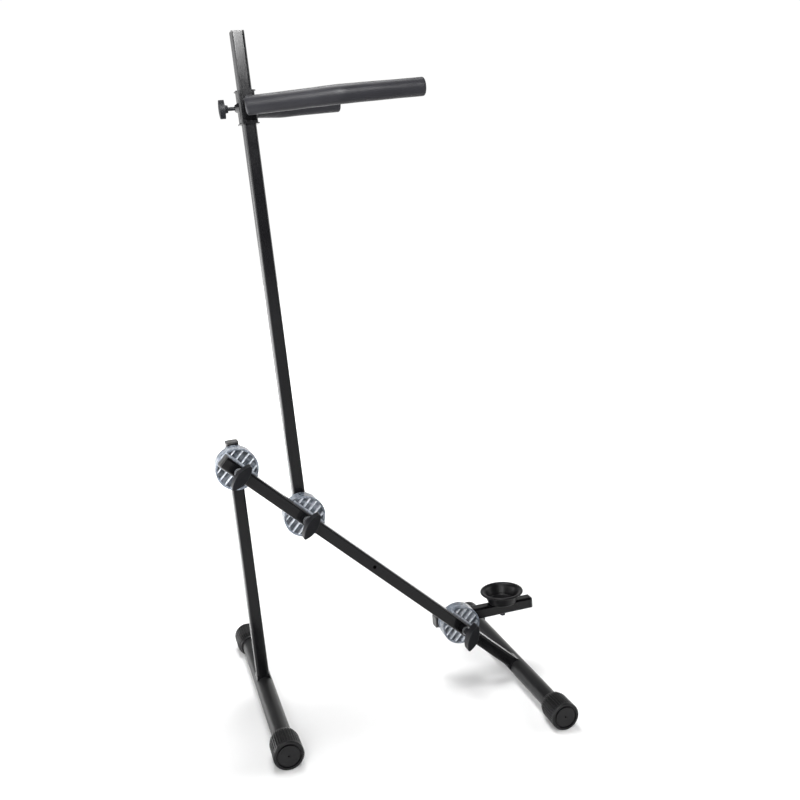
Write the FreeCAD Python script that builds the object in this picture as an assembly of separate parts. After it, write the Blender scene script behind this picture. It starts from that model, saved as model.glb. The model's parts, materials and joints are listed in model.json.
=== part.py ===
import FreeCAD, Part
import math
import os

V = FreeCAD.Vector
os.makedirs("parts", exist_ok=True)

# ---------------------------------------------------------------- dimensions (mm)
# Working frame while modelling: X to the right, Y away from the front, Z up.
# x = 0 is the foot of the leg, y = 0 the crossbar centre plane, z = 0 the floor.
TUBE = 22.2             # square tube outside width
TUBE_R = 4.2            # outside corner radius
TUBE_WALL = 1.5
PLUG_GAP = 0.06         # push-in plug clearance per side

FOOT_R = 16.4           # foot tube outside radius
FOOT_WALL = 2.0
FOOT_LEN = 464.0        # overall length over the rubber caps
CAP_R = 25.2            # rubber foot cap, over the ribs
CAP_LEN = 54.0
CAP_RIBS = 36
CAP_FLOOR = 9.0         # rubber beyond the tube end
FOOT_X = 484.6          # right foot axis
LEFT_X = 0.0            # left foot axis
LEFT_BACK = 8.0         # left foot stands this much further back than the right one
MEMBER_Y = 54.6         # centre plane of leg, pole and cup arm
MID_Y = MEMBER_Y / 2.0  # plane where the two halves of every joint meet

BAR_ANGLE = -38.04      # crossbar slope, measured from +X
LEG_ANGLE = 96.83       # leg direction, foot to joint
POLE_ANGLE = 97.56      # pole direction, joint to top
ARM_ANGLE = 5.84        # cup arm direction
BAR_J1 = 679.0          # distances along the crossbar from the right foot axis
BAR_J2 = 529.3
BAR_J3 = 142.6
BAR_PAST = 34.5         # crossbar end beyond the leg joint
SPARE_HOLE = 374.0      # spare cross hole, from the right foot axis
SPARE_HOLE_R = 3.25
LEG_PAST = 41.5         # leg end beyond its joint
POLE_UP = 817.5         # pole above its joint
POLE_DOWN = 19.0
ARM_LEFT = 41.3
ARM_RIGHT = 163.4

DISC_R = 36.8           # clear joint discs
DISC_GAP = 0.5          # running gap between the two halves
DISC_BACK = 3.4         # rim stands this far back from the tube face
DISC_WEB = 2.5
DISC_RIM = 3.2
DISC_RIB = 1.8
DISC_RIB_PITCH = 11.7
SADDLE_W = 27.2         # channel block across the tube
SADDLE_LIP = 3.5        # lips reach up the sides of the tube
SADDLE_WALL = 2.3
BOLT_R = 4.0
BOLT_HOLE_R = 4.4       # clearance holes in the tubes
BOLT_GAP = 0.1          # running clearance in the moulded discs and knobs
WASHER_R = 8.5
WASHER_T = 1.2

WING_LEN = 53.0         # joint knob, across the wings
WING_W = 18.2
WING_T = 20.0
HUB_R = 7.0
HUB_T = 18.0
KNOB_TURN = {"leg": -1.0, "pole": 5.5, "cup": 19.0}   # how far round each knob was left

CUP_AT = 102.7          # cup centre along the arm
CUP_R = 42.0
CUP_MOUTH_R = 32.5
CUP_FLOOR_R = 26.0
CUP_BODY_R = 28.0
CUP_H = 24.0
CUP_FLOOR_T = 3.2

YOKE_AT = 698.5         # collar centre, along the pole from its joint
COLLAR_H = 53.0
COLLAR_GAP = 0.4        # slides on the pole
COLLAR_WALL = 2.6
FLARE = 2.2             # turned-out lips of the collar
ROD_R = 5.0             # yoke rod
FOAM_R = 15.4
BEND_R = 55.0
ARM_LIFT = 0.9          # yoke arms rise toward their tips, degrees
NEAR_ROOT = (-5.0, -29.2)
NEAR_BEND = (140.0, -76.2)
NEAR_TIP = (282.0, -80.4)
FAR_ROOT = (15.0, 23.5)
FAR_BEND = (64.0, 49.5)
FAR_TIP = (169.0, 50.5)
YOKE_WING_LEN = 34.0
YOKE_SCREW_R = 3.0

nodes = {}


# ---------------------------------------------------------------- helpers
def box(x0, x1, y0, y1, z0, z1):
    return Part.makeBox(x1 - x0, y1 - y0, z1 - z0, V(x0, y0, z0))


def cyl(r, p, q):
    d = V(*q).sub(V(*p))
    return Part.makeCylinder(r, d.Length, V(*p), d)


def cone(r0, r1, p, q):
    d = V(*q).sub(V(*p))
    return Part.makeCone(r0, r1, d.Length, V(*p), d)


def rounded_bar(x0, x1, w, r):
    """Square bar along X with rounded long edges, centred on the X axis."""
    b = box(x0, x1, -w / 2, w / 2, -w / 2, w / 2)
    if r <= 0.01:
        return b
    long_edges = [e for e in b.Edges if abs(e.tangentAt(e.FirstParameter).x) > 0.9]
    return b.makeFillet(r, long_edges)


def square_tube(x0, x1):
    outer = rounded_bar(x0, x1, TUBE, TUBE_R)
    inner = rounded_bar(x0 - 1, x1 + 1, TUBE - 2 * TUBE_WALL, TUBE_R - TUBE_WALL)
    return outer.cut(inner)


def plug(x_end, sign, head=3.2, depth=12.0):
    """Push-in end plug; the tube ends at x_end, the head sits on the end."""
    w = TUBE - 2 * TUBE_WALL - 2 * PLUG_GAP
    a, b = sorted((x_end - sign * depth, x_end + sign * 0.5))
    stem = rounded_bar(a, b, w, TUBE_R - TUBE_WALL)
    c, d = sorted((x_end, x_end + sign * head))
    cap = box(c, d, -TUBE / 2, TUBE / 2, -TUBE / 2, TUBE / 2)
    cap = cap.makeFillet(TUBE_R, [e for e in cap.Edges if abs(e.tangentAt(e.FirstParameter).x) > 0.9])
    xo = x_end + sign * head
    rim = [e for e in cap.Edges if abs(e.CenterOfMass.x - xo) < 0.01]
    cap = cap.makeChamfer(0.9, rim)
    in_half = w / 2 - 1.6
    near, deep = x_end - sign * 1.0, x_end - sign * (depth + 1.0)
    e, f = sorted((near, deep))
    hollow = box(e, f, -in_half, in_half, -in_half, in_half)
    return cap.fuse(stem).cut(hollow).removeSplitter()


def put(shape, angle, x, y, z):
    """Turn a member drawn along +X to its slope and move it to its joint."""
    s = shape.copy()
    turn = FreeCAD.Placement(V(x, y, z), FreeCAD.Rotation(V(0, 1, 0), -angle))
    s.Placement = turn.multiply(s.Placement)
    return s


def point(angle, dist, x0, z0):
    a = math.radians(angle)
    return x0 + dist * math.cos(a), z0 + dist * math.sin(a)


def fillet_weld(near, far):
    """Tapered bead round a square tube drawn along X; the round tube is cut away later."""
    def ring(x, half):
        pts = [V(x, -half, -half), V(x, half, -half), V(x, half, half), V(x, -half, half)]
        return Part.makePolygon(pts + [pts[0]])
    half = TUBE / 2
    body = Part.makeLoft([ring(near, half + 2.0), ring(far, half + 0.25)], True, True)
    return body.cut(rounded_bar(min(near, far) - 1, max(near, far) + 1, TUBE, TUBE_R))


# ---------------------------------------------------------------- joint positions
J1 = point(BAR_ANGLE, -BAR_J1, FOOT_X, CAP_R)
J2 = point(BAR_ANGLE, -BAR_J2, FOOT_X, CAP_R)
J3 = point(BAR_ANGLE, -BAR_J3, FOOT_X, CAP_R)
JOINTS = {"leg": (J1, LEG_ANGLE), "pole": (J2, POLE_ANGLE), "cup": (J3, ARM_ANGLE)}


# ---------------------------------------------------------------- feet
def foot_tube(x, back):
    y0 = MID_Y + back - FOOT_LEN / 2 + CAP_FLOOR
    y1 = MID_Y + back + FOOT_LEN / 2 - CAP_FLOOR
    outer = cyl(FOOT_R, (x, y0, CAP_R), (x, y1, CAP_R))
    return outer.cut(cyl(FOOT_R - FOOT_WALL, (x, y0 - 1, CAP_R), (x, y1 + 1, CAP_R)))


def foot_cap():
    """Rubber cap drawn round the Y axis: end face at y = 0, mouth at y = CAP_LEN."""
    bore = FOOT_R + 0.05
    prof = [(0.0, 0.0), (CAP_R - 7.4, 0.0), (CAP_R - 7.4, 3.2), (CAP_R - 4.6, 3.2), (CAP_R - 4.6, 0.0),
            (CAP_R - 1.6, 0.0), (CAP_R, 1.6), (CAP_R, 4.2), (CAP_R - 1.7, 5.2), (CAP_R - 2.2, 40.0),
            (CAP_R - 4.6, CAP_LEN - 2.0), (CAP_R - 5.8, CAP_LEN), (bore, CAP_LEN),
            (bore, CAP_FLOOR), (0.0, CAP_FLOOR)]
    pts = [V(r, y, 0) for r, y in prof]
    cap = Part.Face(Part.makePolygon(pts + [pts[0]])).revolve(V(0, 0, 0), V(0, 1, 0), 360)
    cap = Part.makeSolid(cap.Shells[0]) if cap.ShapeType != "Solid" else cap
    step = 360.0 / CAP_RIBS
    rib = box(-1.15, 1.15, 3.8, CAP_LEN - 3.6, CAP_R - 3.6, CAP_R)
    taper = cone(CAP_R, CAP_R - 0.5, (0, 0, 0), (0, 41, 0))
    taper = taper.fuse(cone(CAP_R - 0.5, CAP_R - 4.0, (0, 41, 0), (0, CAP_LEN, 0)))
    ribs = []
    for i in range(CAP_RIBS):
        ang = i * step
        if abs(ang - 180.0) < 14.0:      # smooth patch, underside
            continue
        r = rib.copy()
        r.rotate(V(0, 0, 0), V(0, 1, 0), ang)
        ribs.append(r)
    crown = Part.makeCompound(ribs).common(taper)
    cap = cap.fuse(crown.Solids)
    cap = cap.cut(cyl(1.7, (0, -1, 0), (0, 3.0, 0)))
    return cap


CAP = foot_cap()


def foot_caps(x, back):
    front = CAP.copy()
    front.translate(V(x, MID_Y + back - FOOT_LEN / 2, CAP_R))
    rear = CAP.copy()
    rear.rotate(V(0, 0, 0), V(0, 0, 1), 180)
    rear.translate(V(x, MID_Y + back + FOOT_LEN / 2, CAP_R))
    return front, rear


for side, x, back in (("left", LEFT_X, LEFT_BACK), ("right", FOOT_X, 0.0)):
    nodes[side + "_foot_tube"] = foot_tube(x, back)
    front, rear = foot_caps(x, back)
    nodes[side + "_foot_cap_front"] = front
    nodes[side + "_foot_cap_rear"] = rear


# ---------------------------------------------------------------- square tube members
def bolt_hole(x):
    return cyl(BOLT_HOLE_R, (x, -30, 0), (x, 30, 0))


def on_foot(shape, x):
    """Cut a placed member back to the surface of the foot tube it stands on."""
    return shape.cut(cyl(FOOT_R, (x, -60, CAP_R), (x, 120, CAP_R)))

# crossbar: drawn from the right foot axis (x = 0) to its upper end (negative x)
bar = square_tube(-BAR_J1 - BAR_PAST + 3.2, 0)
for d in (BAR_J1, BAR_J2, BAR_J3):
    bar = bar.cut(bolt_hole(-d))
bar = bar.cut(cyl(SPARE_HOLE_R, (-SPARE_HOLE, -30, 0), (-SPARE_HOLE, 30, 0)))
nodes["crossbar_tube"] = on_foot(put(bar, BAR_ANGLE, FOOT_X, 0, CAP_R), FOOT_X)
nodes["crossbar_end_plug"] = put(plug(-BAR_J1 - BAR_PAST + 3.2, -1), BAR_ANGLE, FOOT_X, 0, CAP_R)
weld = fillet_weld(-8.0, -FOOT_R - 3.0)
nodes["crossbar_weld"] = on_foot(put(weld, BAR_ANGLE, FOOT_X, 0, CAP_R), FOOT_X)

# leg: drawn from the left foot axis up to its top end
LEG_LEN = math.hypot(J1[0], J1[1] - CAP_R)
leg = square_tube(0, LEG_LEN + LEG_PAST - 3.2).cut(bolt_hole(LEG_LEN))
nodes["leg_tube"] = on_foot(put(leg, LEG_ANGLE, 0, MEMBER_Y, CAP_R), LEFT_X)
nodes["leg_top_plug"] = put(plug(LEG_LEN + LEG_PAST - 3.2, 1), LEG_ANGLE, 0, MEMBER_Y, CAP_R)
weld = fillet_weld(8.0, FOOT_R + 3.0)
nodes["leg_weld"] = on_foot(put(weld, LEG_ANGLE, 0, MEMBER_Y, CAP_R), LEFT_X)

# pole and cup arm: drawn from their joints
pole = square_tube(-POLE_DOWN + 2.0, POLE_UP - 3.2).cut(bolt_hole(0))
nodes["pole_tube"] = put(pole, POLE_ANGLE, J2[0], MEMBER_Y, J2[1])
nodes["pole_top_plug"] = put(plug(POLE_UP - 3.2, 1), POLE_ANGLE, J2[0], MEMBER_Y, J2[1])
nodes["pole_bottom_plug"] = put(plug(-POLE_DOWN + 2.0, -1, 2.0, 9.0), POLE_ANGLE, J2[0], MEMBER_Y, J2[1])

arm = square_tube(-ARM_LEFT + 3.2, ARM_RIGHT - 3.2).cut(bolt_hole(0))
arm = arm.cut(cyl(3.2, (CUP_AT, 0, -30), (CUP_AT, 0, 30)))
nodes["cup_arm_tube"] = put(arm, ARM_ANGLE, J3[0], MEMBER_Y, J3[1])
nodes["cup_arm_plug_left"] = put(plug(-ARM_LEFT + 3.2, -1), ARM_ANGLE, J3[0], MEMBER_Y, J3[1])
nodes["cup_arm_plug_right"] = put(plug(ARM_RIGHT - 3.2, 1), ARM_ANGLE, J3[0], MEMBER_Y, J3[1])


# ---------------------------------------------------------------- joints
def disc_half():
    """Front half drawn round Y with the tube along X; tube face at y = 10, meeting plane at MID_Y."""
    face = TUBE / 2
    y_meet = MID_Y - DISC_GAP / 2
    y_rim = face + DISC_BACK
    y_web = y_meet - DISC_WEB
    web = cyl(DISC_R, (0, y_web, 0), (0, y_meet, 0))
    rim = cyl(DISC_R, (0, y_rim, 0), (0, y_meet, 0)).cut(cyl(DISC_R - DISC_RIM, (0, 0, 0), (0, y_meet, 0)))
    parts = [rim]
    inside = cyl(DISC_R - 0.5, (0, 0, 0), (0, 60, 0))
    half = SADDLE_W / 2
    floor = box(-40, 40, face + 0.05, face + 2.2, -half, half)
    parts.append(floor.common(inside))
    for s in (-1, 1):
        z0, z1 = sorted((s * half, s * (half - SADDLE_WALL)))
        z0i, z1i = sorted((s * half, s * (TUBE / 2 + 0.05)))
        wall = box(-40, 40, face + 0.05, y_meet, z0, z1)
        lip = box(-40, 40, face - SADDLE_LIP, face + 1.0, z0i, z1i)
        parts.append(wall.common(inside))
        parts.append(lip.common(inside))
        for k in range(-2, 3):
            x = k * DISC_RIB_PITCH
            a, b = sorted((s * (half - 0.5), s * 40.0))
            rib = box(x - DISC_RIB / 2, x + DISC_RIB / 2, y_rim + 0.6, y_meet, a, b)
            parts.append(rib.common(inside))
    parts.append(cyl(9.0, (0, face + 0.05, 0), (0, y_meet, 0)))
    body = web.fuse(parts).cut(cyl(BOLT_R + BOLT_GAP, (0, 0, 0), (0, 60, 0)))
    return body.removeSplitter()


DISC = disc_half()


def rear_half(angle, pos):
    """Same moulding turned over: mirrored about the meeting plane, channel along the member."""
    d = DISC.mirror(V(0, MID_Y, 0), V(0, 1, 0))
    return put(d, angle, pos[0], 0, pos[1])


def wing_knob(length, width, thick, hub_t):
    """Wing along Z, thickness toward -Y, hub base at y = 0."""
    rad = (length * length / 4 + width * width / 4) / width
    off = rad - width / 2
    y0 = -hub_t - thick
    y1 = -hub_t
    lens = cyl(rad, (off, y0, 0), (off, y1, 0)).common(cyl(rad, (-off, y0, 0), (-off, y1, 0)))
    blunt = length / 2 - 2.2
    lens = lens.common(box(-30, 30, y0 - 1, y1 + 1, -blunt, blunt))
    crown = 5.0 * length       # outer face bows outward along the wing
    lens = lens.common(cyl(crown, (-30, y0 + crown, 0), (30, y0 + crown, 0)))
    rims = [e for e in lens.Edges if e.CenterOfMass.y < -hub_t - 0.6 * thick and abs(e.CenterOfMass.z) < blunt - 1]
    lens = lens.makeChamfer(0.8, rims)
    hub = cone(HUB_R, HUB_R - 1.0, (0, -hub_t - 1, 0), (0, -0.2, 0))
    return lens.fuse(hub)


def joint_knob():
    k = wing_knob(WING_LEN, WING_W, WING_T, HUB_T)
    k = k.cut(cyl(BOLT_R + BOLT_GAP, (0, -HUB_T - WING_T + 4.0, 0), (0, 5, 0)))
    return k.removeSplitter()


KNOB = joint_knob()


def bolt():
    """Bolt from behind the member: domed head, shank ending inside the knob."""
    back = MEMBER_Y + TUBE / 2
    tip = -TUBE / 2 - WASHER_T - HUB_T - WING_T + 8.0
    shank = cyl(BOLT_R, (0, tip, 0), (0, back + 1.0, 0))
    head = Part.makeSphere(11.0, V(0, back + 4.2 - 11.0, 0)).common(box(-12, 12, back + 0.05, back + 9, -12, 12))
    return shank.fuse(head).removeSplitter()


def washer():
    w = cyl(WASHER_R, (0, -TUBE / 2 - WASHER_T, 0), (0, -TUBE / 2 - 0.02, 0))
    return w.cut(cyl(BOLT_HOLE_R, (0, -20, 0), (0, 0, 0)))


for name, (pos, angle) in JOINTS.items():
    nodes[name + "_joint_disc_front"] = put(DISC, BAR_ANGLE, pos[0], 0, pos[1])
    nodes[name + "_joint_disc_rear"] = rear_half(angle, pos)
    nodes[name + "_joint_bolt"] = put(bolt(), angle, pos[0], 0, pos[1])
    nodes[name + "_joint_washer"] = put(washer(), BAR_ANGLE, pos[0], 0, pos[1])
    k = KNOB.copy()
    k.translate(V(0, -TUBE / 2 - WASHER_T, 0))
    nodes[name + "_joint_knob"] = put(k, BAR_ANGLE + KNOB_TURN[name], pos[0], 0, pos[1])


# ---------------------------------------------------------------- rest cup
def rest_cup():
    """Turned bowl drawn round Z, base at z = 0: plain body, broad rolled lip."""
    top, lip = CUP_H, CUP_R
    lines = [(3.2, CUP_FLOOR_T - 1.6), (3.2, 0), (CUP_BODY_R - 1.5, 0), (CUP_BODY_R, 1.6),
             (CUP_MOUTH_R, top - 9.0)]
    edges = [Part.makeLine(V(a[0], 0, a[1]), V(b[0], 0, b[1])) for a, b in zip(lines, lines[1:])]

    def arc(a, m, b):
        edges.append(Part.Arc(V(a[0], 0, a[1]), V(m[0], 0, m[1]), V(b[0], 0, b[1])).toShape())

    arc((CUP_MOUTH_R, top - 9.0), (CUP_MOUTH_R + 2.2, top - 5.6), (lip - 3.0, top - 4.2))
    arc((lip - 3.0, top - 4.2), (lip, top - 2.2), (lip - 2.6, top))
    arc((lip - 2.6, top), (CUP_MOUTH_R + 2.4, top - 1.5), (CUP_MOUTH_R - 1.4, top - 6.5))
    inner = [(CUP_MOUTH_R - 1.4, top - 6.5), (CUP_FLOOR_R, CUP_FLOOR_T + 4.0)]
    edges.append(Part.makeLine(V(inner[0][0], 0, inner[0][1]), V(inner[1][0], 0, inner[1][1])))
    arc(inner[1], (CUP_FLOOR_R - 1.4, CUP_FLOOR_T + 1.0), (CUP_FLOOR_R - 4.6, CUP_FLOOR_T))
    lines = [(CUP_FLOOR_R - 4.6, CUP_FLOOR_T), (8.5, CUP_FLOOR_T), (7.2, CUP_FLOOR_T - 1.6),
             (3.2, CUP_FLOOR_T - 1.6)]
    edges += [Part.makeLine(V(a[0], 0, a[1]), V(b[0], 0, b[1])) for a, b in zip(lines, lines[1:])]
    s = Part.Face(Part.Wire(edges)).revolve(V(0, 0, 0), V(0, 0, 1), 360)
    return s if s.ShapeType == "Solid" else Part.makeSolid(s.Shells[0])


def on_arm(shape):
    s = shape.copy()
    s.translate(V(CUP_AT, 0, TUBE / 2 + 0.02))
    return put(s, ARM_ANGLE, J3[0], MEMBER_Y, J3[1])


nodes["rest_cup"] = on_arm(rest_cup())
screw = cyl(3.0, (0, 0, -TUBE - 3.5), (0, 0, CUP_FLOOR_T - 1.0))
screw = screw.fuse(cone(3.0, 6.4, (0, 0, CUP_FLOOR_T - 1.55), (0, 0, CUP_FLOOR_T + 0.6)))
nodes["cup_screw"] = on_arm(screw.removeSplitter())
nut = cyl(7.0, (0, 0, -TUBE - 1.2), (0, 0, -TUBE - 0.06))
hexa = [V(5.6 * math.cos(math.radians(60 * i)), 5.6 * math.sin(math.radians(60 * i)), -TUBE - 5.8) for i in range(6)]
hexa = Part.Face(Part.makePolygon(hexa + [hexa[0]])).extrude(V(0, 0, 4.8))
nodes["cup_nut"] = on_arm(nut.fuse(hexa).cut(cyl(3.05, (0, 0, -40), (0, 0, 0))).removeSplitter())


# ---------------------------------------------------------------- yoke
# Drawn with the pole along Z, arms in the XY plane, collar centre at the origin.
def on_pole(shape):
    s = shape.copy()
    x, z = point(POLE_ANGLE, YOKE_AT, J2[0], J2[1])
    turn = FreeCAD.Placement(V(x, MEMBER_Y, z), FreeCAD.Rotation(V(0, 1, 0), 90.0 - POLE_ANGLE))
    s.Placement = turn.multiply(s.Placement)
    return s


def lifted(shape):
    """Tip the yoke arms up about the collar centre."""
    s = shape.copy()
    s.rotate(V(0, 0, 0), V(0, 1, 0), -ARM_LIFT)
    return s


def upright(shape):
    """Turn a bar drawn along X so that it stands along Z."""
    s = shape.copy()
    s.rotate(V(0, 0, 0), V(0, 1, 0), -90)
    return s


def collar():
    inner = TUBE + 2 * COLLAR_GAP
    outer = inner + 2 * COLLAR_WALL
    h = COLLAR_H / 2
    body = upright(rounded_bar(-h, h, outer, 3.4))
    for s in (-1, 1):      # turned-out lips on the top and bottom edges
        z0, z1 = sorted((s * h, s * (h - 1.8)))
        lip = box(-outer / 2 - FLARE, outer / 2 + FLARE, -outer / 2 + 3.6, outer / 2 - 3.6, z0, z1)
        body = body.fuse(lip)
    body = body.cut(upright(rounded_bar(-h - 1, h + 1, inner, TUBE_R)))
    body = body.cut(cyl(YOKE_SCREW_R + 0.3, (-40, 0, 0), (0, 0, 0)))
    return body.removeSplitter()


def bent_path(pts, radius):
    """Wire through three points in the XY plane with an arc at the middle one."""
    a, b, c = [V(p[0], p[1], 0) for p in pts]
    u = a.sub(b).normalize()
    w = c.sub(b).normalize()
    half = math.acos(max(-1.0, min(1.0, u.dot(w)))) / 2
    t = radius / math.tan(half)
    p = b.add(V(u).multiply(t))
    q = b.add(V(w).multiply(t))
    bis = V(u).add(w).normalize()
    centre = b.add(V(bis).multiply(radius / math.sin(half)))
    mid = centre.add(b.sub(centre).normalize().multiply(radius))
    return Part.Wire([Part.LineSegment(a, p).toShape(), Part.Arc(p, mid, q).toShape(),
                      Part.LineSegment(q, c).toShape()])


def swept(pts, radius, bend):
    path = bent_path(pts, bend)
    d = V(pts[1][0] - pts[0][0], pts[1][1] - pts[0][1], 0)
    prof = Part.Wire(Part.Circle(V(pts[0][0], pts[0][1], 0), d, radius).toShape())
    return path.makePipeShell([prof], True, False)


def shorten(pts, at_root, at_tip):
    (ax, ay), (bx, by), (cx, cy) = pts
    l0 = math.hypot(bx - ax, by - ay)
    l1 = math.hypot(cx - bx, cy - by)
    return [(ax + (bx - ax) * at_root / l0, ay + (by - ay) * at_root / l0), (bx, by),
            (cx - (cx - bx) * at_tip / l1, cy - (cy - by) * at_tip / l1)]


def yoke_arm(pts, sign):
    """Bent rod with the tab that joins it to the collar."""
    rod = swept(shorten(pts, 1.0, 7.0), ROD_R, BEND_R)
    face = TUBE / 2 + COLLAR_GAP + COLLAR_WALL + 0.02
    y0, y1 = sorted((sign * face, sign * (abs(pts[0][1]) + 1.0)))
    tab = box(-1.0, max(11.0, pts[0][0] + 6.0), y0, y1, -4.0, 4.0)
    return lifted(rod.fuse(tab).removeSplitter())


def foam(pts, arm):
    sleeve = lifted(swept(pts, FOAM_R, BEND_R))
    face = TUBE / 2 + COLLAR_GAP + COLLAR_WALL + 0.02
    keep_out = box(-60, 16.8, -face, face, -40, 40)
    return sleeve.cut(arm).cut(keep_out)


nodes["yoke_collar"] = on_pole(collar())
near_arm = yoke_arm([NEAR_ROOT, NEAR_BEND, NEAR_TIP], -1)
far_arm = yoke_arm([FAR_ROOT, FAR_BEND, FAR_TIP], 1)
nodes["yoke_arm_near"] = on_pole(near_arm)
nodes["yoke_arm_far"] = on_pole(far_arm)
nodes["yoke_foam_near"] = on_pole(foam([NEAR_ROOT, NEAR_BEND, NEAR_TIP], near_arm))
nodes["yoke_foam_far"] = on_pole(foam([FAR_ROOT, FAR_BEND, FAR_TIP], far_arm))

flank = -(TUBE / 2 + COLLAR_GAP + COLLAR_WALL)
boss = cone(8.6, 5.2, (flank - 0.02, 0, 0), (flank - 5.5, 0, 0))
boss = boss.cut(cyl(YOKE_SCREW_R + 0.3, (flank - 20, 0, 0), (0, 0, 0)))
nodes["yoke_boss"] = on_pole(boss)

k = wing_knob(YOKE_WING_LEN, 15.0, 9.5, 5.0)
k.rotate(V(0, 0, 0), V(0, 0, 1), -90)
k.translate(V(flank - 17.0, 0, 0))
screw = cyl(YOKE_SCREW_R, (flank - 20.0, 0, 0), (-TUBE / 2 - 0.35, 0, 0))
knob_body = k.fuse(screw).removeSplitter()
nodes["yoke_knob"] = on_pole(knob_body)

# ---------------------------------------------------------------- origin at the bottom centre, then write
total = Part.makeCompound(list(nodes.values())).optimalBoundingBox()
shift = V(-(total.XMin + total.XMax) / 2, -(total.YMin + total.YMax) / 2, -total.ZMin)
print("shift", round(shift.x, 3), round(shift.y, 3), round(shift.z, 3))
print("size", round(total.XLength, 2), round(total.YLength, 2), round(total.ZLength, 2))
for name, pos in (("J1", J1), ("J2", J2), ("J3", J3), ("YOKE", point(POLE_ANGLE, YOKE_AT, J2[0], J2[1]))):
    print(name, round(pos[0] + shift.x, 3), round(pos[1] + shift.z, 3))
for name, shape in nodes.items():
    s = shape.copy()
    s.translate(shift)
    if len(s.Solids) == 1:
        s = s.Solids[0]
    print(name, s.isValid(), len(s.Solids), round(s.Volume, 1))
    s.exportStep("parts/" + name + ".step")
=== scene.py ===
"""Floor stand for a string instrument: square-tube frame, clear joint discs, foam yoke, rest cup."""

import json
import math

import bmesh
import bpy
from mathutils import Matrix, Vector, noise


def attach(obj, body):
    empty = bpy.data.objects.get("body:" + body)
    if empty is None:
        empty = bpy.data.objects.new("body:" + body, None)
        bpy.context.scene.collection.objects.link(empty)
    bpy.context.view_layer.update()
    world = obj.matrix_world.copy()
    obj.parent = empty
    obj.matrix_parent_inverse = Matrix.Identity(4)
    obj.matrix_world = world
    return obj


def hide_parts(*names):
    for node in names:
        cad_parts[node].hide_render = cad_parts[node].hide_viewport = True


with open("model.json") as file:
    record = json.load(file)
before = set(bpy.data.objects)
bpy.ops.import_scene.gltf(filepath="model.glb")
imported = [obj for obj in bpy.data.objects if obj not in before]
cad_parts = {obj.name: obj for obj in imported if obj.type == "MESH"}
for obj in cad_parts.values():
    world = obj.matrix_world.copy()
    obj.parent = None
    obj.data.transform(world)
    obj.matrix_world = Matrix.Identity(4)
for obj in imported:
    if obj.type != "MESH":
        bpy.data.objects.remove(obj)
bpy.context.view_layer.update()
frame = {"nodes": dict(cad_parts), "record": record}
NODES = frame["nodes"]
MM = 0.001

# ---------------------------------------------------------------- placement of the yoke, as in the CAD model
YOKE_ORIGIN = Vector((-0.248621, 0.0233, 1.043789))
ARM_TILT = math.radians(7.56 + 0.9)     # pole lean plus the rise of the arms
FOAM_RADIUS = 15.2 * MM
FOAM_END_ROUND = 3.2 * MM
FOAM_BORE = 5.3 * MM
FOAM_STEPS_ROUND = 72
BEND_RADIUS = 55 * MM
NEAR_ARM = ((-5.0, -29.2), (140.0, -76.2), (282.0, -80.4))
FAR_ARM = ((15.0, 23.5), (64.0, 49.5), (169.0, 50.5))


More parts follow.
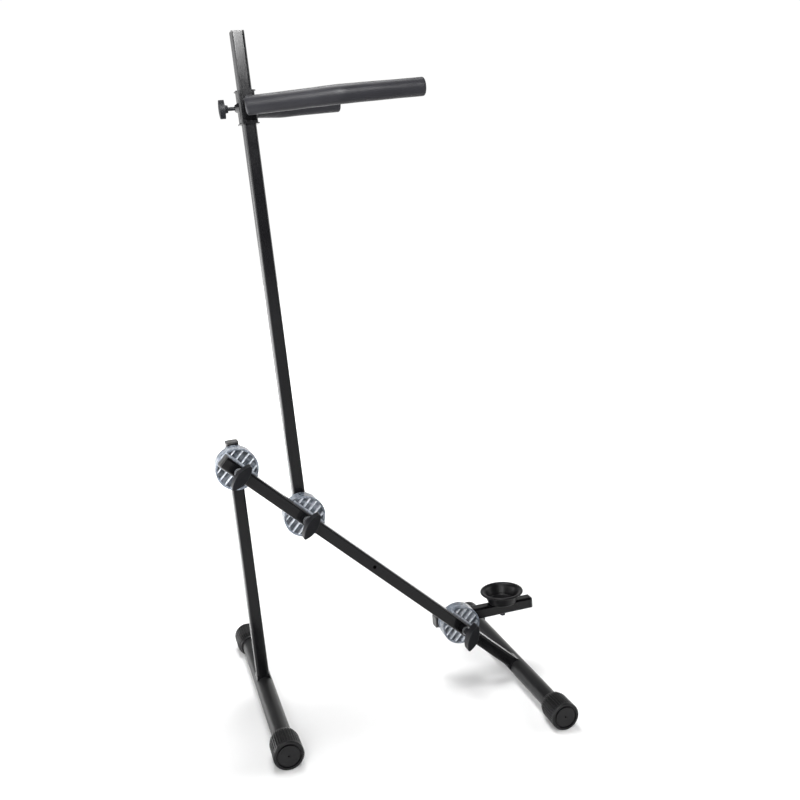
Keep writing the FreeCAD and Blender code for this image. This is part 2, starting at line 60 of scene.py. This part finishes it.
# ---------------------------------------------------------------- node material helpers
class Mat:
    """A small builder round one material's node tree."""

    def __init__(self, name):
        self.m = bpy.data.materials.new(name)
        self.m.use_nodes = True
        self.t = self.m.node_tree
        self.t.nodes.clear()
        self.out = self.t.nodes.new("ShaderNodeOutputMaterial")
        self.bsdf = self.t.nodes.new("ShaderNodeBsdfPrincipled")
        self.link(self.bsdf.outputs[0], self.out.inputs["Surface"])
        self.coord = self.t.nodes.new("ShaderNodeTexCoord").outputs["Object"]

    def link(self, a, b):
        self.t.links.new(a, b)

    def set(self, **values):
        names = {"base": "Base Color", "rough": "Roughness", "metal": "Metallic", "alpha": "Alpha",
                 "sheen": "Sheen Weight", "sheen_rough": "Sheen Roughness", "spec": "Specular IOR Level"}
        for key, value in values.items():
            self.bsdf.inputs[names[key]].default_value = value
        return self

    def noise(self, scale, detail=3.0, rough=0.5, stretch=(1, 1, 1), distortion=0.0):
        mapping = self.t.nodes.new("ShaderNodeMapping")
        mapping.inputs["Scale"].default_value = stretch
        self.link(self.coord, mapping.inputs["Vector"])
        n = self.t.nodes.new("ShaderNodeTexNoise")
        n.inputs["Scale"].default_value = scale
        n.inputs["Detail"].default_value = detail
        n.inputs["Roughness"].default_value = rough
        n.inputs["Distortion"].default_value = distortion
        self.link(mapping.outputs[0], n.inputs["Vector"])
        return n.outputs["Fac"]

    def voronoi(self, scale):
        n = self.t.nodes.new("ShaderNodeTexVoronoi")
        n.inputs["Scale"].default_value = scale
        self.link(self.coord, n.inputs["Vector"])
        return n.outputs["Distance"]

    def ramp(self, fac, stops):
        r = self.t.nodes.new("ShaderNodeValToRGB")
        e = r.color_ramp.elements
        while len(e) < len(stops):
            e.new(0.5)
        for item, (pos, col) in zip(e, stops):
            item.position = pos
            item.color = (*col, 1) if isinstance(col, tuple) else (col, col, col, 1)
        self.link(fac, r.inputs[0])
        return r.outputs[0]

    def span(self, fac, lo, hi, f0=0.3, f1=0.7):
        n = self.t.nodes.new("ShaderNodeMapRange")
        n.inputs["From Min"].default_value = f0
        n.inputs["From Max"].default_value = f1
        n.inputs["To Min"].default_value = lo
        n.inputs["To Max"].default_value = hi
        self.link(fac, n.inputs["Value"])
        return n.outputs[0]

    def math(self, op, a, b):
        n = self.t.nodes.new("ShaderNodeMath")
        n.operation = op
        for i, v in enumerate((a, b)):
            if isinstance(v, (int, float)):
                n.inputs[i].default_value = v
            else:
                self.link(v, n.inputs[i])
        return n.outputs[0]

    def mix(self, fac, a, b):
        n = self.t.nodes.new("ShaderNodeMix")
        n.data_type = "RGBA"
        self.link(fac, n.inputs[0])
        self.link(a, n.inputs[6])
        self.link(b, n.inputs[7])
        return n.outputs[2]

    def colour(self, socket):
        self.link(socket, self.bsdf.inputs["Base Color"])
        return self

    def roughness(self, socket):
        self.link(socket, self.bsdf.inputs["Roughness"])
        return self

    def bump(self, height, strength, distance):
        n = self.t.nodes.new("ShaderNodeBump")
        n.inputs["Strength"].default_value = strength
        n.inputs["Distance"].default_value = distance
        self.link(height, n.inputs["Height"])
        previous = self.bsdf.inputs["Normal"].links
        if previous:
            self.link(previous[0].from_socket, n.inputs["Normal"])
        self.link(n.outputs[0], self.bsdf.inputs["Normal"])
        return self


def powder_coat():
    m = Mat("black_powder_coat").set(spec=0.25)
    cloud = m.noise(9.0, 4.0, 0.6)
    m.colour(m.ramp(cloud, [(0.30, (0.0022, 0.0022, 0.0026)), (0.72, (0.0042, 0.0042, 0.0047))]))
    grain = m.noise(900.0, 2.0, 0.5)
    broad = m.noise(30.0, 5.0, 0.65)
    m.roughness(m.math("ADD", m.span(broad, 0.13, 0.19), m.span(grain, -0.02, 0.03)))
    m.bump(grain, 0.03, 0.0003)
    return m.m


def round_tube_coat():
    m = Mat("black_tube_satin").set(spec=0.28)
    streak = m.noise(26.0, 5.0, 0.7, stretch=(3.0, 0.35, 3.0), distortion=0.4)
    m.colour(m.ramp(streak, [(0.35, (0.006, 0.006, 0.0065)), (0.78, (0.013, 0.013, 0.0135))]))
    grain = m.noise(800.0, 2.0)
    m.roughness(m.math("ADD", m.span(streak, 0.30, 0.44), m.span(grain, -0.03, 0.04)))
    m.bump(grain, 0.08, 0.0004)
    return m.m


def moulded(name, dark, light, rough=(0.42, 0.55), grain_scale=1400.0, grain=0.16, spec=0.5):
    m = Mat(name).set(spec=spec)
    cloud = m.noise(22.0, 4.0, 0.6)
    m.colour(m.ramp(cloud, [(0.32, dark), (0.7, light)]))
    fine = m.voronoi(grain_scale)
    m.roughness(m.span(m.noise(60.0, 4.0), rough[0], rough[1]))
    m.bump(fine, grain, 0.0003)
    return m.m


# where one look of a joint disc fades into the next, as start and end of the fade: body, painted lip
# highlight, painted rib-wall highlight and painted pocket shade
RIM_EDGE = (33.2 * MM, 33.8 * MM)         # distance from the disc's centre
CHANNEL_EDGE = (13.4 * MM, 13.9 * MM)     # distance across from the member's centre line
# extent of the painted lip highlight across from the member's centre line
LIP_HIGHLIGHT_SIDE = (13.3 * MM, 13.9 * MM)
POCKET_SHADE_DEPTH = (3.0 * MM, 9.5 * MM)       # distance in depth from the plane where the halves meet, over which the painted pocket shade fades into the painted rib-wall highlight
# extent of the painted lip highlight in depth
LIP_HIGHLIGHT_TOP = (14 * MM, 15 * MM)


def clear_plastic(name, centre, angle):
    """Clear moulding: blue-gray body, painted highlights on the rib walls and channel lip, painted shade on
    the pocket floors.

    centre and angle place the moulding's own axes, so that its pockets can be told from its rim.
    """
    m = Mat(name).set(spec=0.6, alpha=0.94)
    place = m.t.nodes.new("ShaderNodeVectorMath")
    place.operation = "SUBTRACT"
    m.link(m.coord, place.inputs[0])
    place.inputs[1].default_value = centre
    turn = m.t.nodes.new("ShaderNodeVectorRotate")
    turn.rotation_type = "Y_AXIS"
    turn.inputs["Angle"].default_value = math.radians(angle)
    m.link(place.outputs[0], turn.inputs["Vector"])
    split = m.t.nodes.new("ShaderNodeSeparateXYZ")
    m.link(turn.outputs[0], split.inputs[0])
    along, depth, across = split.outputs
    squares = m.math("ADD", m.math("MULTIPLY", along, along), m.math("MULTIPLY", across, across))
    radius = m.math("SQRT", squares, 0)
    across = m.math("ABSOLUTE", across, 0)
    depth = m.math("ABSOLUTE", depth, 0)
    in_rim = m.span(radius, 1.0, 0.0, *RIM_EDGE)
    off_bar = m.span(across, 0.0, 1.0, *CHANNEL_EDGE)
    pocket = m.math("MULTIPLY", in_rim, off_bar)
    # mask for the painted pocket shade, strongest near the plane where the halves meet
    floor = m.span(depth, 1.0, 0.0, *POCKET_SHADE_DEPTH)
    # mask for the painted lip highlight along the channel
    lip_highlight_mask = m.math("MULTIPLY", m.span(across, 1.0, 0.0, *LIP_HIGHLIGHT_SIDE), m.span(depth, 0.0, 1.0, *LIP_HIGHLIGHT_TOP))
    cloud = m.noise(55.0, 4.0, 0.6, distortion=1.2)
    fine = m.noise(210.0, 3.0, 0.6)
    body = m.ramp(m.math("ADD", cloud, m.span(fine, -0.12, 0.12)),
                  [(0.30, (0.055, 0.064, 0.078)), (0.52, (0.12, 0.138, 0.165)), (0.78, (0.30, 0.33, 0.38))])
    # painted shade: dark pocket floors, standing in for shade and the dark surroundings seen through the
    # plastic
    dark = m.ramp(cloud, [(0.35, (0.035, 0.041, 0.050)), (0.52, (0.085, 0.097, 0.115)),
                          (0.70, (0.22, 0.245, 0.28))])
    # painted highlight: bright rib walls, as if catching the light
    rib_wall_highlight = m.ramp(fine, [(0.32, (0.28, 0.31, 0.36)), (0.68, (0.80, 0.83, 0.88))])
    # painted highlight: lighter channel lip
    lip_highlight = m.ramp(fine, [(0.32, (0.16, 0.18, 0.21)), (0.68, (0.42, 0.45, 0.50))])
    inner = m.mix(floor, rib_wall_highlight, dark)
    m.colour(m.mix(pocket, m.mix(lip_highlight_mask, body, lip_highlight), inner))
    m.roughness(m.span(m.noise(120.0, 3.0), 0.07, 0.15))
    m.bump(m.noise(70.0, 2.0), 0.06, 0.0006)
    return m.m


def steel(name, tone, rough=(0.26, 0.4)):
    m = Mat(name).set(metal=1.0)
    m.colour(m.ramp(m.noise(90.0, 4.0), [(0.3, tuple(c * 0.82 for c in tone)), (0.7, tone)]))
    m.roughness(m.span(m.noise(300.0, 3.0), rough[0], rough[1]))
    m.bump(m.noise(1200.0, 2.0), 0.08, 0.0002)
    return m.m


def foam_skin():
    m = Mat("foam_skin").set(spec=0.13, sheen=0.02, sheen_rough=0.5)
    cloud = m.noise(14.0, 4.0, 0.55)
    m.colour(m.ramp(cloud, [(0.3, (0.0055, 0.0055, 0.0068)), (0.72, (0.009, 0.009, 0.0108))]))
    cells = m.noise(1500.0, 3.0, 0.6)
    broad = m.noise(40.0, 4.0)
    m.roughness(m.math("ADD", m.span(broad, 0.36, 0.44), m.span(cells, -0.02, 0.03)))
    m.bump(cells, 0.08, 0.0005)
    m.bump(m.noise(120.0, 3.0), 0.06, 0.0008)
    return m.m


MATERIALS = {
    "black_powder_coat": powder_coat(),
    "black_plugs": moulded("black_plugs", (0.012, 0.012, 0.012), (0.02, 0.02, 0.02), (0.34, 0.45)),
    "black_rubber": moulded("black_rubber", (0.005, 0.005, 0.0054), (0.010, 0.010, 0.0105), (0.34, 0.46),
                            900.0, 0.15, 0.22),
    "black_steel_bolts": steel("black_steel_bolts", (0.05, 0.05, 0.055)),
    "zinc_steel": steel("zinc_steel", (0.56, 0.57, 0.60)),
    "black_knobs": moulded("black_knobs", (0.003, 0.0032, 0.004), (0.005, 0.0053, 0.0066), (0.40, 0.48),
                           spec=0.12),
    "black_cup": moulded("black_cup", (0.003, 0.003, 0.0034), (0.006, 0.006, 0.0065), (0.30, 0.40),
                         1000.0, 0.10, 0.14),
    "black_foam": foam_skin(),
}
ROUND_TUBE = round_tube_coat()

# joint centres on the row's XZ plane, and the slope of the member that carries the rear half
MID_PLANE = -0.004
BAR_SLOPE = -38.04
JOINTS = {"leg": ((-0.274624, 0.443608), 96.83), "pole": ((-0.156723, 0.351361), 97.56),
          "cup": ((0.147834, 0.113072), 5.84)}
DISCS = {}
for joint, ((jx, jz), slope) in JOINTS.items():
    for half, angle in (("front", BAR_SLOPE), ("rear", slope)):
        node_name = joint + "_joint_disc_" + half
        DISCS[node_name] = clear_plastic("clear_" + joint + "_" + half, (jx, MID_PLANE, jz), angle)

for part in frame["record"]["subparts"]:
    node = NODES[part["node"]]
    node.data.materials.clear()
    if part["node"] in DISCS:
        chosen = DISCS[part["node"]]
    elif part["node"].endswith("foot_tube"):
        chosen = ROUND_TUBE
    else:
        chosen = MATERIALS[part["material_slot"]]
    node.data.materials.append(chosen)
    for face in node.data.polygons:
        face.material_index = 0


# ---------------------------------------------------------------- mesh helpers
def yoke_point(x, y, z):
    """Yoke coordinates in mm (x along the arms, y across, z up the pole) to the row frame."""
    along = Vector((math.cos(ARM_TILT), 0, math.sin(ARM_TILT)))
    up = Vector((-math.sin(ARM_TILT), 0, math.cos(ARM_TILT)))
    return YOKE_ORIGIN + along * (x * MM) + Vector((0, y * MM, 0)) + up * (z * MM)


def rounded_path(points, radius, step):
    """Points along a two-run path whose corner is an arc, with the corner and the way towards its inside."""
    a, b, c = [Vector((p[0], p[1], 0)) * MM for p in points]
    u, w = (a - b).normalized(), (c - b).normalized()
    half = u.angle(w) / 2
    cut = radius / math.tan(half)
    p, q = b + u * cut, b + w * cut
    centre = b + (u + w).normalized() * (radius / math.sin(half))
    turn = math.pi - 2 * half
    out = []
    n = max(2, int((p - a).length / step))
    out += [a.lerp(p, i / n) for i in range(n)]
    k = max(6, int(radius * turn / step * 2))
    start, end = (p - centre).normalized(), (q - centre).normalized()
    for i in range(k + 1):
        out.append(centre + start.slerp(end, i / k) * radius)
    n = max(2, int((c - q).length / step))
    out += [q.lerp(c, (i + 1) / n) for i in range(n)]
    return out, b, (u + w).normalized()


def new_object(name, verts, faces, material, smooth=True):
    mesh = bpy.data.meshes.new(name)
    mesh.from_pydata([tuple(v) for v in verts], [], faces)
    mesh.validate()
    mesh.update()
    bm = bmesh.new()
    bm.from_mesh(mesh)
    bmesh.ops.recalc_face_normals(bm, faces=bm.faces)
    bm.to_mesh(mesh)
    bm.free()
    if smooth:
        mesh.polygons.foreach_set("use_smooth", [True] * len(mesh.polygons))
    mesh.materials.append(material)
    obj = bpy.data.objects.new(name, mesh)
    bpy.context.scene.collection.objects.link(obj)
    return obj


def foam_sleeve(name, node, points, seed):
    """Foam pushed over a bent rod: rounded ends, a fuller outside and soft creases inside the bend."""
    around = FOAM_STEPS_ROUND
    path, corner, inward = rounded_path(points, BEND_RADIUS, 3 * MM)
    total = [0.0]
    for p, q in zip(path, path[1:]):
        total.append(total[-1] + (q - p).length)
    length = total[-1]
    corner_at = min(range(len(path)), key=lambda i: (path[i] - corner).length)
    corner_s = total[corner_at]
    rings = []
    end_round = FOAM_END_ROUND

    def ring(centre, tangent, radius, s):
        side = Vector((-tangent.y, tangent.x, 0))
        if side.dot(inward) < 0:
            side = -side
        up = Vector((0, 0, 1))
        bend = math.exp(-((s - corner_s) / (30 * MM)) ** 2)
        out = []
        for k in range(around):
            t = 2 * math.pi * k / around
            inner = max(0.0, math.cos(t))
            outer = max(0.0, -math.cos(t))
            wave = noise.noise(Vector((s * 26, math.cos(t) * 0.9, math.sin(t) * 0.9 + seed))) * 0.30 * MM
            crease = 0.42 * MM * bend * inner * math.sin((s - corner_s) / (3.4 * MM)) * inner
            swell = bend * (0.35 * MM * outer + 0.5 * MM * abs(math.sin(t)))
            r = radius + (wave + crease + swell if radius > 10 * MM else 0.0)
            local = centre + side * (math.cos(t) * r) + up * (math.sin(t) * r)
            out.append(yoke_point(local.x / MM, local.y / MM, local.z / MM))
        return out

    def tangent_at(i):
        j0, j1 = max(0, i - 1), min(len(path) - 1, i + 1)
        return (path[j1] - path[j0]).normalized()

    bore = FOAM_BORE
    t0, t1 = tangent_at(0), tangent_at(len(path) - 1)
    # root end: bore, flat face, rounded rim; then the run of the sleeve; then the rounded, closed far end
    rings.append(ring(path[0] + t0 * 9 * MM, t0, bore, 0))
    rings.append(ring(path[0] + t0 * 1.0 * MM, t0, bore + 0.2 * MM, 0))
    for i in range(5):
        a = math.pi / 2 * i / 4
        rad = FOAM_RADIUS - end_round + end_round * math.sin(a)
        along = end_round * (1 - math.cos(a))
        rings.append(ring(path[0] + t0 * along, t0, rad, 0))
    for i, p in enumerate(path):
        if end_round * 1.2 < total[i] < length - end_round * 1.2:
            rings.append(ring(p, tangent_at(i), FOAM_RADIUS, total[i]))
    for i in range(6):
        a = math.pi / 2 * i / 5
        rad = FOAM_RADIUS - end_round + end_round * math.cos(a)
        along = end_round * (1 - math.sin(a))
        rings.append(ring(path[-1] - t1 * along, t1, rad, length))
    rings.append(ring(path[-1] + t1 * 0.2 * MM, t1, 7 * MM, length))
    rings.append(ring(path[-1] + t1 * 0.1 * MM, t1, 2 * MM, length))
    verts = [v for r in rings for v in r]
    faces = []
    for j in range(len(rings) - 1):
        for k in range(around):
            a, b = j * around + k, j * around + (k + 1) % around
            faces.append((a, b, b + around, a + around))
    faces.append(tuple(range((len(rings) - 1) * around, len(rings) * around)))
    obj = new_object(name, verts, faces, MATERIALS["black_foam"])
    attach(obj, "yoke")
    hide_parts(node)


foam_sleeve("foam_sleeve_near", "yoke_foam_near", NEAR_ARM, 1.7)
foam_sleeve("foam_sleeve_far", "yoke_foam_far", FAR_ARM, 5.1)


# ---------------------------------------------------------------- stage, light and camera
def floor_material():
    """Pale paper floor. It glows far from the object, where the lamps fall off, and more at the left,
    where it shows as a light strip in the parts' left faces."""
    m = Mat("studio_floor").set(base=(0.93, 0.93, 0.93, 1), rough=0.9, spec=0.1)
    m.roughness(m.span(m.noise(3.0), 0.85, 0.95))
    split = m.t.nodes.new("ShaderNodeSeparateXYZ")
    m.link(m.coord, split.inputs[0])
    away = m.t.nodes.new("ShaderNodeVectorMath")
    away.operation = "LENGTH"
    m.link(m.coord, away.inputs[0])
    glow = m.math("MULTIPLY", m.span(away.outputs["Value"], 0.0, 0.8, 0.75, 2.4),
                  m.span(split.outputs["Y"], 0.35, 1.0, -0.9, 0.3))
    leftward = m.math("MULTIPLY", split.outputs["X"], -1.0)
    bearing = m.math("DIVIDE", split.outputs["Y"], m.math("MAXIMUM", leftward, 0.3))
    lit_side = m.math("MULTIPLY", m.span(leftward, 0.0, SIDE_GLOW, 0.40, 0.64),
                      m.math("MULTIPLY", m.span(bearing, 0.0, 1.0, -0.80, -0.60),
                             m.span(bearing, 1.0, 0.0, 1.0, 1.4)))
    m.bsdf.inputs["Emission Color"].default_value = (1, 1, 1, 1)
    m.link(m.math("ADD", m.math("ADD", glow, lit_side), FLOOR_GLOW), m.bsdf.inputs["Emission Strength"])
    return m.m


FLOOR_GLOW = 0.02       # everywhere
SIDE_GLOW = 9.0         # far left, on the floor and in the world
FRONT_STRIP = 5.5       # softbox in the world, to the right of the camera
FLOOR_HALF = 14.0
corners = [(x * FLOOR_HALF, y * FLOOR_HALF, 0) for x, y in ((-1, -1), (1, -1), (1, 1), (-1, 1))]
floor = new_object("studio_floor", corners, [(0, 1, 2, 3)], floor_material(), smooth=False)


def area(name, place, target, width, height, power, spread=180):
    light = bpy.data.lights.new(name, "AREA")
    light.shape = "RECTANGLE"
    light.size, light.size_y = width, height
    light.energy = power
    light.spread = math.radians(spread)
    obj = bpy.data.objects.new(name, light)
    bpy.context.scene.collection.objects.link(obj)
    obj.location = place
    obj.rotation_euler = (Vector(target) - Vector(place)).to_track_quat("-Z", "Y").to_euler()


area("top_softbox", (-0.25, 0.45, 2.4), (-0.25, 0.45, 0), 0.9, 1.1, 38)
area("key_softbox", (-0.28, -1.42, 1.63), (-0.11, -0.05, 1.05), 0.46, 0.46, 6.0, 50)
area("tall_panel", (-1.45, -2.97, 1.9), (-0.1, 0, 0.85), 1.4, 2.0, 5, 60)
area("right_softbox", (1.94, -0.23, 1.26), (0, 0, 0.25), 1.1, 1.1, 17)


def studio_world():
    """Pale backdrop behind the object, dark in front and overhead, with two bright patches to reflect."""
    world = bpy.data.worlds.new("studio")
    world.use_nodes = True
    t = world.node_tree
    t.nodes.clear()
    out = t.nodes.new("ShaderNodeOutputWorld")
    bg = t.nodes.new("ShaderNodeBackground")
    way = t.nodes.new("ShaderNodeTexCoord")
    sep = t.nodes.new("ShaderNodeSeparateXYZ")
    t.links.new(way.outputs["Generated"], sep.inputs[0])

    def ramp(socket, x0, x1, y0, y1):
        n = t.nodes.new("ShaderNodeMapRange")
        n.interpolation_type = "SMOOTHSTEP"
        for key, value in (("From Min", x0), ("From Max", x1), ("To Min", y0), ("To Max", y1)):
            n.inputs[key].default_value = value
        t.links.new(socket, n.inputs["Value"])
        return n.outputs[0]

    def math_node(op, a, b):
        n = t.nodes.new("ShaderNodeMath")
        n.operation = op
        t.links.new(a, n.inputs[0])
        t.links.new(b, n.inputs[1])
        return n.outputs[0]

    backdrop = math_node("MULTIPLY", ramp(sep.outputs["Y"], -0.6, 0.25, 0.05, 1.28),
                         ramp(sep.outputs["Z"], 0.26, 0.62, 1.0, 0.10))
    beside = math_node("MULTIPLY", backdrop, ramp(sep.outputs["X"], -0.17, -0.12, 0.45, 1.0))
    bright_left = math_node("MULTIPLY", ramp(sep.outputs["X"], -0.70, -0.82, 0.0, SIDE_GLOW),
                            ramp(sep.outputs["Z"], 0.10, 0.30, 1.0, 0.0))
    in_front = t.nodes.new("ShaderNodeMath")
    in_front.operation = "MINIMUM"
    in_front.inputs[1].default_value = -0.15
    t.links.new(sep.outputs["Y"], in_front.inputs[0])
    bearing = math_node("DIVIDE", sep.outputs["X"], in_front.outputs[0])
    strip = math_node("MULTIPLY", ramp(bearing, 0.20, 0.34, 0.0, FRONT_STRIP),
                      ramp(bearing, 0.80, 1.05, 1.0, 0.0))
    strip = math_node("MULTIPLY", strip, ramp(sep.outputs["Y"], -0.3, -0.15, 1.0, 0.0))
    total = math_node("ADD", math_node("ADD", beside, bright_left), strip)
    t.links.new(total, bg.inputs["Strength"])
    t.links.new(bg.outputs[0], out.inputs[0])
    bpy.context.scene.world = world


studio_world()
bpy.context.scene.view_settings.view_transform = "Standard"
bpy.context.scene.view_settings.look = "None"

CAM_AZIMUTH = math.radians(17.714)
CAM_DOWN = math.radians(10.134)
CAM_ROLL = math.radians(1.309)
CAM_PLACE = Vector((-0.470717, -1.53509, 0.83976))
CAM_FOCAL = 40.883

forward = Vector((math.sin(CAM_AZIMUTH) * math.cos(CAM_DOWN), math.cos(CAM_AZIMUTH) * math.cos(CAM_DOWN),
                  -math.sin(CAM_DOWN)))
level = Vector((math.cos(CAM_AZIMUTH), -math.sin(CAM_AZIMUTH), 0))
upward = level.cross(forward)
right = level * math.cos(CAM_ROLL) + upward * math.sin(CAM_ROLL)
top = upward * math.cos(CAM_ROLL) - level * math.sin(CAM_ROLL)
cam_data = bpy.data.cameras.new("camera")
cam_data.lens = CAM_FOCAL
cam_data.sensor_width = 36.0
cam = bpy.data.objects.new("camera", cam_data)
bpy.context.scene.collection.objects.link(cam)
cam.matrix_world = Matrix((
    (right.x, top.x, -forward.x, CAM_PLACE.x),
    (right.y, top.y, -forward.y, CAM_PLACE.y),
    (right.z, top.z, -forward.z, CAM_PLACE.z),
    (0, 0, 0, 1)))
bpy.context.scene.camera = cam
